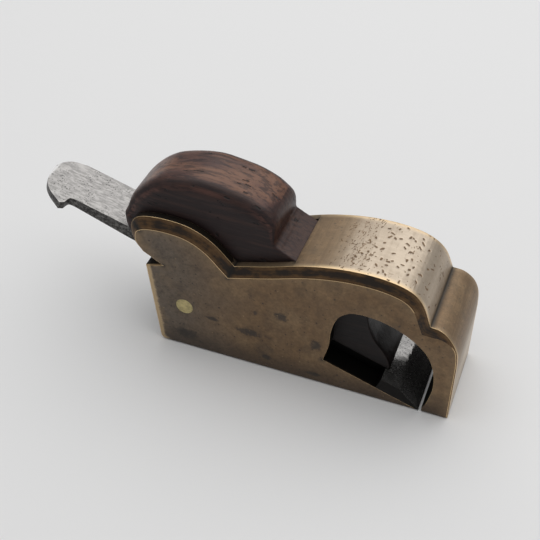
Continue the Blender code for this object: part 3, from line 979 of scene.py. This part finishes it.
@dataclass(frozen=True)
class DingSet:
    """Short dents scattered over a piece by a Geometry Nodes tree, at random turns or along a grain."""

    name: str
    density: float
    length: float
    width: float
    depth: float
    seed: int
    zone: str
    grain: Triple | None = None
    ragged: float = 1.1 * MM
    spacing: float = 0.0
    shake_scale: float = 1300.0
    grain_swing: float = 0.12
    sizes: tuple[float, float] = (0.25, 1.25)

    def apply(self, piece: bpy.types.Object, material: bpy.types.Material) -> None:
        """Presses the dings into a piece and keeps the result as its mesh.

        Args:
            piece: The piece.
            material: Material of the finished mesh.
        """
        tree = self._tree()
        modifier = piece.modifiers.new(self.name, "NODES")
        modifier.node_group = tree
        values = {"Density": self.density, "Length": self.length, "Width": self.width,
                  "Depth": self.depth, "Seed": self.seed, "Material": material}
        for item in tree.interface.items_tree:
            if item.in_out == "INPUT" and item.name in values:
                modifier[item.identifier] = values[item.name]
        piece.update_tag()
        bpy.context.view_layer.update()
        done = piece.evaluated_get(bpy.context.evaluated_depsgraph_get())
        baked = bpy.data.meshes.new_from_object(done)
        piece.modifiers.remove(modifier)
        old, piece.data = piece.data, baked
        baked.name = piece.name
        bpy.data.meshes.remove(old)

    def _tree(self) -> bpy.types.NodeTree:
        """Builds the node tree.

        Returns:
            The tree.
        """
        tree = bpy.data.node_groups.new(self.name, "GeometryNodeTree")
        kinds = {"Geometry": "Geometry", "Density": "Float", "Length": "Float", "Width": "Float",
                 "Depth": "Float", "Seed": "Int", "Material": "Material"}
        for label, kind in kinds.items():
            tree.interface.new_socket(label, in_out="INPUT", socket_type=f"NodeSocket{kind}")
        tree.interface.new_socket("Geometry", in_out="OUTPUT", socket_type="NodeSocketGeometry")
        build = NodeBuilder(tree)
        given = build.add("NodeGroupInput").outputs
        feed: Feed = {0: self._strokes(build, given), "Sample Position": self._shaken(build)}
        near = build.add("GeometryNodeProximity", feed, target_element="EDGES")
        press = 1.0 - Value(build, near.outputs["Distance"]).ramp(0.0, given["Width"])
        before = build.add("GeometryNodeInputNamedAttribute", {"Name": "ding"}, data_type="FLOAT")
        feed = {"Name": "ding", "Geometry": given["Geometry"],
                "Value": press | before.outputs["Attribute"]}
        keep = build.add("GeometryNodeStoreNamedAttribute", feed, data_type="FLOAT", domain="POINT")
        down = press * build.math("MULTIPLY", given["Depth"], -1.0)
        feed = {0: build.add("GeometryNodeInputNormal"), "Scale": down}
        sink = build.add("ShaderNodeVectorMath", feed, operation="SCALE")
        move = build.add("GeometryNodeSetPosition", {"Geometry": keep, "Offset": sink})
        real = build.add("GeometryNodeRealizeInstances", {"Geometry": move})
        painted = build.add("GeometryNodeSetMaterial", {"Geometry": real, "Material": given["Material"]})
        build.add("NodeGroupOutput", {0: painted})
        return tree

    def _shaken(self, build: NodeBuilder) -> bpy.types.Node:
        """Position shaken by noise, so that no ding has a clean outline.

        Args:
            build: The tree's builder.

        Returns:
            The node that gives the shaken position.
        """
        place = build.add("GeometryNodeInputPosition")
        shake = build.add("ShaderNodeTexNoise", {"Vector": place, "Scale": self.shake_scale})
        centred = build.add("ShaderNodeVectorMath", {0: shake.outputs["Color"], 1: (0.5, 0.5, 0.5)},
                            operation="SUBTRACT")
        feed = {0: centred, 1: (self.ragged, self.ragged, self.ragged), 2: place}
        return build.add("ShaderNodeVectorMath", feed, operation="MULTIPLY_ADD")

    def _strokes(self, build: NodeBuilder, given: bpy.types.NodeOutputs) -> bpy.types.Node:
        """Short lines on the surface, each at a random turn and size.

        Args:
            build: The tree's builder.
            given: The tree's input values.

        Returns:
            The node that gives the lines.
        """
        zone = build.add("GeometryNodeInputNamedAttribute", {"Name": self.zone}, data_type="FLOAT")
        share = zone.outputs["Attribute"]
        feed: Feed = {"Mesh": given["Geometry"], "Seed": given["Seed"]}
        if self.spacing:
            feed |= {"Distance Min": self.spacing, "Density Max": given["Density"],
                     "Density Factor": share}
        else:
            feed["Density"] = build.math("MULTIPLY", given["Density"], share)
        points = build.add("GeometryNodeDistributePointsOnFaces", feed,
                           distribute_method="POISSON" if self.spacing else "RANDOM")
        along = build.add("ShaderNodeCombineXYZ", {0: given["Length"]})
        line = build.add("GeometryNodeMeshLine", {"Count": 2, "Offset": along}, mode="OFFSET")
        swing = math.pi if self.grain is None else self.grain_swing
        turn = build.add("FunctionNodeRandomValue", {2: -swing, 3: swing, "Seed": given["Seed"]},
                         data_type="FLOAT")
        spin = build.add("FunctionNodeAxisAngleToRotation",
                         {"Axis": (0.0, 0.0, 1.0), "Angle": turn.outputs[1]})
        lying: object = points.outputs["Rotation"]
        if self.grain is not None:
            lying = build.add("FunctionNodeAlignRotationToVector",
                              {"Rotation": lying, "Vector": self.grain}, axis="X", pivot_axis="Z")
        turned = build.add("FunctionNodeRotateRotation", {0: lying, 1: spin}, rotation_space="LOCAL")
        least, most = self.sizes
        size = build.add("FunctionNodeRandomValue", {2: least, 3: most}, data_type="FLOAT")
        feed = {"Points": points, "Instance": line, "Rotation": turned, "Scale": size.outputs[1]}
        placed = build.add("GeometryNodeInstanceOnPoints", feed)
        return build.add("GeometryNodeRealizeInstances", {"Geometry": placed})


@dataclass
class SubAssembly:
    """Base of a sub-assembly: the loaded frame and the shared effects that it is built from."""

    frame: dict
    effects: SharedEffects

    def surface(self, node: str, weigh: Rule = everywhere) -> Surface:
        """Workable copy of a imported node."""
        return Surface(self.frame["nodes"][node], weigh)


@dataclass
class BodyCasting(SubAssembly):
    """The gunmetal body; the places in handled and toe_span are in millimetres."""

    bed_angle: float = 19.0
    mouth_x: float = 37.6 * MM
    bridge_back_x: float = -3.2 * MM
    half_width: float = 14.3 * MM
    half_slot: float = 10.3 * MM
    toe_notch_x: float = 37.0 * MM
    heel_front_x: float = -30.0 * MM
    heel_top_z: float = 31.0 * MM
    throat_x: tuple[float, float] = (5.0 * MM, 42.0 * MM)
    throat_roof_z: float = 33.6 * MM
    throat_arch_x: float = 26.0 * MM
    throat_fall: float = 0.55
    pin_place: tuple[float, float] = (-37.4 * MM, 17.0 * MM)
    pin_reach: float = 4.0 * MM
    arris_width: float = 0.34 * MM
    sharp_angle: float = 30.0
    detail: Detail = Detail(0.45 * MM, 3.0 * MM, 4.0 * MM)
    top_length: float = 0.36 * MM
    # painted reflection: the toe's polish falls by this share from low down to its top
    toe_sheen_drop: float = 0.84
    # polish along the hump by x in millimetres; lower towards the rear partly as a painted darker reflection
    handled: tuple[tuple[float, float], ...] = (
        (-3.2, 0.17), (4.0, 0.25), (11.0, 0.7), (19.0, 0.95), (25.0, 1.05), (31.0, 0.95), (36.8, 0.72))
    toe_span: tuple[float, float] = (38.2, 47.0)
    dings: tuple[DingSet, ...] = (
        DingSet("hump_dents", 260000.0, 0.8 * MM, 0.5 * MM, 0.14 * MM, 11, "dented",
                ragged=0.6 * MM, spacing=1.6 * MM),
        DingSet("hump_pricks", 90000.0, 0.3 * MM, 0.34 * MM, 0.05 * MM, 23, "dented"),
        DingSet("hump_nicks", 300000.0, 1.5 * MM, 0.25 * MM, 0.03 * MM, 5, "scuffed"),
        DingSet("hump_hatching", 620000.0, 1.3 * MM, 0.2 * MM, 0.02 * MM, 17, "scuffed",
                (0.35, 1.0, 0.0)))
    finish: GunmetalFinish = GunmetalFinish("cast_gunmetal")

    def in_throat(self, point: Vector) -> bool:
        """Whether a point is at the side opening or on its edge."""
        roof = self.throat_roof_z - max(point.x - self.throat_arch_x, 0.0) * self.throat_fall
        return self.throat_x[0] < point.x < self.throat_x[1] and point.z < roof

    def at_pin(self, point: Vector) -> bool:
        """Whether a point is at the pin's hole."""
        x, z = self.pin_place
        return math.hypot(point.x - x, point.z - z) < self.pin_reach

    def at_heel(self, point: Vector) -> bool:
        """Whether a point is low in the rear of the body."""
        return point.x < self.heel_front_x and point.z < self.heel_top_z

    def wear(self, middle: Vector, direction: Vector) -> float:
        """Wear of an outer arris.

        Args:
            middle: Middle of the arris.
            direction: Its direction.

        Returns:
            A share from 0 to 1.
        """
        inside = abs(middle.y) < 11.0 * MM or abs(direction.y) > 0.3
        if inside or middle.z < 1.5 * MM or self.at_pin(middle):
            return 0.0
        if self.in_throat(middle):
            return 0.75 if middle.x > 30.0 * MM else 0.6
        return 0.7 if self.at_heel(middle) else 1.0

    def rub(self, middle: Vector, direction: Vector) -> float:
        """Soft wear beside the chamfer's lower arris and the toe.

        Args:
            middle: Middle of the arris.
            direction: Its direction.

        Returns:
            A share from 0 to 1.
        """
        outer = abs(middle.y) > self.half_width - 0.3 * MM and abs(direction.y) < 0.3
        if not outer or middle.z < 6.0 * MM or self.at_pin(middle) or self.at_heel(middle):
            return 0.0
        if self.in_throat(middle):
            return 0.7 if middle.x > 33.0 * MM else 0.25
        return 0.9

    @staticmethod
    def heel(middle: Vector, direction: Vector) -> float:
        """Ragged wear: 1 on the heel's upright arrises, otherwise 0."""
        upright = abs(direction.z) > 0.6 and abs(middle.y) > 13.0 * MM
        return 1.0 if upright and middle.x < -41.0 * MM and middle.z < 30.0 * MM else 0.0

    def polish_and_sheen(self, centre: Vector, normal: Vector) -> float:
        """How far handling has brightened a face, partly as painted reflection: brighter low on the toe,
        darker at the hump's rear.

        Args:
            centre: The face's centre.
            normal: Its normal.

        Returns:
            A share from 0 to 1.
        """
        bed = (self.mouth_x - centre.x) * math.tan(math.radians(self.bed_angle))
        if abs(normal.y) > 0.45 or centre.z < bed + 1.0 * MM or self.inner_shade(centre, normal) > 0.5:
            return 0.0
        if normal.z < -0.05 or normal.x < -0.6:
            return 0.12
        if centre.x < self.bridge_back_x:
            return 0.2
        # painted reflection: the toe polished more low down, where it is brighter, and less on top
        toe = 1.0 - self.toe_sheen_drop * held((centre.z - 12.0 * MM) / (16.0 * MM))
        places, shares = zip(*self.handled, *((x, toe) for x in self.toe_span))
        return float(np.interp(centre.x / MM, places, shares))

    def inner_shade(self, centre: Vector, normal: Vector) -> float:
        """Share of painted shade at a face: near black inside the body, in the slot and the throat, and on
        the lobe's top in the wedge's shadow.

        Args:
            centre: The face's centre.
            normal: Its normal.

        Returns:
            A share from 0 to 1.
        """
        if abs(normal.y) > 0.5:
            return 1.0 if centre.y * normal.y < 0.0 else 0.0
        # painted shadow of the wedge on the lobe's top
        on_lobe = centre.x < self.bridge_back_x and normal.z > 0.2 and centre.z > 30.0 * MM
        if on_lobe and abs(normal.y) < 0.12:
            return 0.9 if centre.x < -22.0 * MM else 0.5
        in_slot = abs(centre.y) < self.half_slot and normal.z < -0.5 and centre.z > 1.0 * MM
        if in_slot or (self.in_throat(centre) and centre.z > 0.05 * MM):
            return 0.8 + 0.2 * min((self.half_width - abs(centre.y)) / (0.8 * MM), 1.0)
        return 0.0

    @staticmethod
    def chamfer(centre: Vector, normal: Vector) -> float:
        """1 on the chamfer's faces, otherwise 0."""
        slanted = 0.55 < abs(normal.y) < 0.97 and centre.y * normal.y > 0.0
        return 1.0 if slanted and centre.z > 8.0 * MM else 0.0

    def battered(self, middle: float, spread: float) -> Rule:
        """Rule for where the hump's top is marked.

        Args:
            middle: Place of most marks along X, in metres.
            spread: How far they reach, in metres.

        Returns:
            A rule that gives a face's share of the marks.
        """
        def share(centre: Vector, normal: Vector) -> float:
            """Share of the marks at a face, none off the hump's top."""
            handled = self.polish_and_sheen(centre, normal) >= 0.38 and self.bridge_back_x < centre.x < self.toe_notch_x
            return math.exp(-(((centre.x - middle) / spread) ** 2)) + 0.03 if handled else 0.0

        return share

    def top_detail(self, point: Vector) -> float:
        """Largest edge length at a point in metres, fine on the hump's top."""
        on_top = 2.0 * MM < point.x < self.toe_notch_x and point.z > 33.8 * MM and abs(point.y) < 12.6 * MM
        return self.top_length if on_top else 1.0

    def at_mouth(self, point: Vector) -> bool:
        """Whether a point is at the mouth, whose arrises stay sharp."""
        return point.z < 3.0 * MM and abs(point.x - self.mouth_x) < 6.0 * MM

    def build(self) -> None:
        """Builds and dresses the body."""
        surface = self.surface("body_casting", self.wear)
        worn = surface.worn
        rubbed, heel = (ArrisMap(surface.mesh, True, rule) for rule in (self.rub, self.heel))
        # inside corners, whose nearness darkens the metal as dirt and painted shade
        corners = ArrisMap(surface.mesh, False, everywhere)
        surface.soften(self.arris_width, self.sharp_angle, self.at_mouth)
        surface.refine(self.detail, self.top_detail)
        piece = surface.finish("body_gunmetal", {
            "edge": worn.fading(1.0 * MM), "rub": rubbed.fading(1.9 * MM), "heel": heel.fading(1.35 * MM),
            "cavity": corners.fading(1.0 * MM), "across": lambda point: worn.gap(point) / MM})
        rules = {"polish_and_sheen": self.polish_and_sheen, "inner_shade": self.inner_shade, "chamfer": self.chamfer,
                 "dented": self.battered(24.0 * MM, 7.5 * MM),
                 "scuffed": self.battered(12.5 * MM, 4.5 * MM)}
        for label, rule in rules.items():
            mark_faces(piece, label, rule)
        material = self.finish.build(self.effects)
        for dings in self.dings:
            dings.apply(piece, material)
        dress(piece, material, "body_casting", Body.PLANE)


@dataclass
class BedBlock(SubAssembly):
    """The wooden block under the iron, with its cross pin."""

    pin_swell: float = 0.19 * MM
    darkness: float = 0.95
    block_detail: Detail = Detail(0.6 * MM, 3.0 * MM, 2.0 * MM)
    pin_detail: Detail = Detail(0.5 * MM, 2.0 * MM, 1.5 * MM)
    # near black colours: partly painted shade down in the throat, partly the wood's own dark colour
    block_finish: RosewoodFinish = RosewoodFinish(
        "bed_rosewood", band=(0.02, 0.015, 0.014), dark=(0.0085, 0.008, 0.008), grain_turn=19.0)
    pin_finish: PinFinish = PinFinish("filed_brass_pin")

    def build(self) -> None:
        """Builds and dresses the block and the pin."""
        surface = self.surface("bed_block")
        surface.refine(self.block_detail)
        block = surface.finish("bed_block_wood")
        # painted shade over the whole block, down in the dark throat, on wood that is dark itself
        mark_faces(block, "side_shade", lambda centre, normal: self.darkness)
        dress(block, self.block_finish.build(self.effects), "bed_block", Body.PLANE)
        self._pin()

    def _pin(self) -> None:
        """Builds the pin, swollen to fill its hole as a riveted pin does."""
        surface = self.surface("cross_pin")
        corners = [vertex.co for vertex in surface.mesh.verts]
        middle = sum(corners, Vector()) / len(corners)
        for vertex in surface.mesh.verts:
            out = Vector((vertex.co.x - middle.x, 0.0, vertex.co.z - middle.z))
            vertex.co += out.normalized() * self.pin_swell
        surface.refine(self.pin_detail)
        pin = surface.finish("cross_pin_brass")
        dress(pin, self.pin_finish.build(self.effects), "cross_pin", Body.PLANE)


@dataclass
class CuttingIron(SubAssembly):
    """The snecked steel iron."""

    arris_width: float = 0.13 * MM
    sharp_angle: float = 50.0
    mouth_x: float = 37.6 * MM
    edge_z: float = 1.0 * MM
    detail: Detail = Detail(0.5 * MM, 3.0 * MM, 3.0 * MM)
    finish: SteelFinish = SteelFinish("ground_tool_steel")

    def wear(self, middle: Vector, direction: Vector) -> float:
        """Brightness of an arris, dull along the head's sides and at the cutting edge.

        Args:
            middle: Middle of the arris.
            direction: Its direction.

        Returns:
            A share from 0 to 1.
        """
        on_head = middle.x > 0.0 and abs(direction.y) < 0.5
        at_edge = middle.x > self.mouth_x - 6.0 * MM and middle.z < self.edge_z
        return 0.0 if on_head or at_edge else 0.8

    @staticmethod
    def side_shade(centre: Vector, normal: Vector) -> float:
        """Share of painted shade on a face, from 0 to 1: none on top, most on the head's sides."""
        return 0.0 if normal.z > 0.6 else 1.0 if centre.x > 0.0 else 0.7

    def build(self) -> None:
        """Builds and dresses the iron."""
        surface = self.surface("iron", self.wear)
        surface.soften(self.arris_width, self.sharp_angle, lambda point: point.z < self.edge_z)
        surface.refine(self.detail)
        piece = surface.finish("iron_steel_blade")
        # painted shade on the iron's sides
        mark_faces(piece, "side_shade", self.side_shade)
        dress(piece, self.finish.build(self.effects), "iron", Body.IRON)


WOOD_GRAIN: Triple = (0.97, 0.0, -0.24)


@dataclass
class LockingWedge(SubAssembly):
    """The rosewood wedge."""

    bulge: float = 1.2 * MM
    brow_x_mm: float = -20.0
    brow_run_mm: float = 8.0
    brow_z_mm: float = 46.0
    brow_height_mm: float = 12.0
    flank_start: float = 0.16
    flank_span: float = 0.5
    foot_dark: float = 0.55
    foot_x: float = -11.5 * MM
    foot_z: float = 46.0 * MM
    # height below which the wedge goes down into the body: painted shade below it, pores only above it
    sunk_z: float = 40.0 * MM
    sunk_fade: float = 4.0 * MM
    grip_z: float = 50.0 * MM
    grip_length: float = 0.34 * MM
    detail: Detail = Detail(0.4 * MM, 1.2 * MM, 2.0 * MM)
    smooth_angle: float = 40.0
    rounds: int = 7
    dings: tuple[DingSet, ...] = (
        DingSet("wedge_pores", 34000.0, 1.4 * MM, 0.27 * MM, 0.05 * MM, 3, "porous", WOOD_GRAIN, 0.4 * MM),
        DingSet("wedge_cracks", 3600.0, 2.6 * MM, 0.36 * MM, 0.12 * MM, 8, "porous", WOOD_GRAIN, 0.7 * MM))
    finish: RosewoodFinish = RosewoodFinish("handled_rosewood")

    def brow(self, point: Vector) -> float:
        """Where the front of the grip stands out above the foot.

        Args:
            point: A point of the wedge.

        Returns:
            A share from 0 to 1.
        """
        rise = (point.z / MM - self.brow_z_mm) / self.brow_height_mm
        reach = held((point.x / MM - self.brow_x_mm) / self.brow_run_mm)
        return reach * math.sin(math.pi * rise) if 0.0 < rise < 1.0 else 0.0

    def side_shade(self, place: Vector, normal: Vector) -> float:
        """How dark a place is, from 0 to 1: painted shade on the sides, and a foot darker than the grip."""
        foot = self.foot_dark if place.x > self.foot_x or place.z < self.foot_z else 0.0
        return max(held((abs(normal.y) - self.flank_start) / self.flank_span), foot)

    @staticmethod
    def soft(point: Vector) -> bool:
        """Whether a point is on the rounded grip, whose facets are evened out."""
        return point.z > 49.0 * MM or (point.z > 44.0 * MM and point.x < -14.0 * MM)

    def build(self) -> None:
        """Builds and dresses the wedge."""
        surface = self.surface("wedge")
        surface.refine(self.detail, lambda p: self.grip_length if p.z > self.grip_z else 1.0)
        for vertex in surface.mesh.verts:
            vertex.co.x += self.bulge * self.brow(vertex.co)
        surface.relax(self.rounds, self.soft)
        piece = surface.finish("wedge_rosewood_grip", smooth_angle=self.smooth_angle)
        # painted shade on the sides, and the darker foot
        mark_vertices(piece, "side_shade", self.side_shade)
        mark_vertices(piece, "turned", lambda place, normal: abs(normal.y))
        # painted shade below this height, where the wedge goes down beside the lobe
        mark_vertices(piece, "sunk_shade", lambda place, normal: held((self.sunk_z - place.z) / self.sunk_fade))
        mark_faces(piece, "porous", lambda centre, normal: 1.0 if centre.z > self.sunk_z else 0.0)
        material = self.finish.build(self.effects)
        for dings in self.dings:
            dings.apply(piece, material)
        dress(piece, material, "wedge", Body.WEDGE)


@dataclass
class Studio:
    """Floor, light and camera."""

    camera_place: Triple = (0.06453, -0.20759, 0.22949)
    azimuth: float = 20.93
    elevation: float = 42.31
    lens: float = 66.2
    sensor: float = 36.0
    nearest: float = 0.005
    panel_light: float = 1.28
    panel_size: tuple[float, float] = (1.9, 2.0)
    panel_place: Triple = (0.06, 0.5, 1.0)
    front_light: float = 0.25
    back_light: float = 0.36
    light_turn: tuple[float, float] = (-0.45, 0.55)
    floor_colour: Colour = (0.8, 0.8, 0.8)
    floor_roughness: float = 0.75
    floor_shine: float = 0.2
    floor_half: float = 3.0
    floor_gap: float = 0.2 * MM

    def build(self) -> None:
        """Builds the studio."""
        self._camera()
        self._floor()
        self._lights()

    def _camera(self) -> None:
        """Camera at the photograph's place and angle."""
        camera = bpy.data.cameras.new("camera")
        camera.lens, camera.sensor_width, camera.clip_start = self.lens, self.sensor, self.nearest
        holder = bpy.data.objects.new("camera", camera)
        turn, lift = math.radians(self.azimuth), math.radians(self.elevation)
        flat = math.cos(lift)
        sight = Vector((math.sin(turn) * flat, -math.cos(turn) * flat, math.sin(lift)))
        holder.location = self.camera_place
        holder.rotation_euler = (-sight).to_track_quat("-Z", "Y").to_euler()
        bpy.context.scene.collection.objects.link(holder)
        bpy.context.scene.camera = holder

    def _floor(self) -> None:
        """Pale floor under the sole."""
        mesh = bpy.data.meshes.new("floor")
        half = self.floor_half
        corners = [(-half, -half, 0.0), (half, -half, 0.0), (half, half, 0.0), (-half, half, 0.0)]
        mesh.from_pydata(corners, [], [(0, 1, 2, 3)])
        floor = bpy.data.objects.new("floor", mesh)
        floor.location.z = -self.floor_gap
        bpy.context.scene.collection.objects.link(floor)
        material = bpy.data.materials.new("pale_floor")
        material.use_nodes = True
        shader = material.node_tree.nodes["Principled BSDF"]
        shader.inputs["Base Color"].default_value = (*self.floor_colour, 1.0)
        shader.inputs["Roughness"].default_value = self.floor_roughness
        shader.inputs["Specular IOR Level"].default_value = self.floor_shine
        mesh.materials.append(material)

    def _lights(self) -> None:
        """Soft panel overhead, behind the object, and a surround that is dim on the camera's side."""
        light = bpy.data.lights.new("overhead_panel", "AREA")
        light.shape = "RECTANGLE"
        light.size, light.size_y = self.panel_size
        light.energy = self.panel_light * math.pi * light.size * light.size_y
        panel = bpy.data.objects.new("overhead_panel", light)
        panel.location = self.panel_place
        bpy.context.scene.collection.objects.link(panel)
        world = bpy.data.worlds.new("studio")
        world.use_nodes = True
        build = NodeBuilder(world.node_tree)
        place = build.add("ShaderNodeTexCoord").outputs["Generated"]
        facing = Value(build, build.add("ShaderNodeSeparateXYZ", {0: place}).outputs["Y"])
        strength = facing.ramp(*self.light_turn).between(self.front_light, self.back_light)
        back = world.node_tree.nodes["Background"]
        build.put(back.inputs["Color"], EVEN)
        build.put(back.inputs["Strength"], strength)
        bpy.context.scene.world = world


def main() -> None:
    """Builds the plane's looks piece by piece."""
    logging.basicConfig(level=logging.INFO, format="%(name)s: %(message)s")
    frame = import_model()
    bpy.context.scene.view_settings.view_transform = "Standard"
    effects = SharedEffects()
    Studio().build()
    for assembly in (BodyCasting, BedBlock, CuttingIron, LockingWedge):
        assembly(frame, effects).build()


if __name__ == "__main__":
    main()
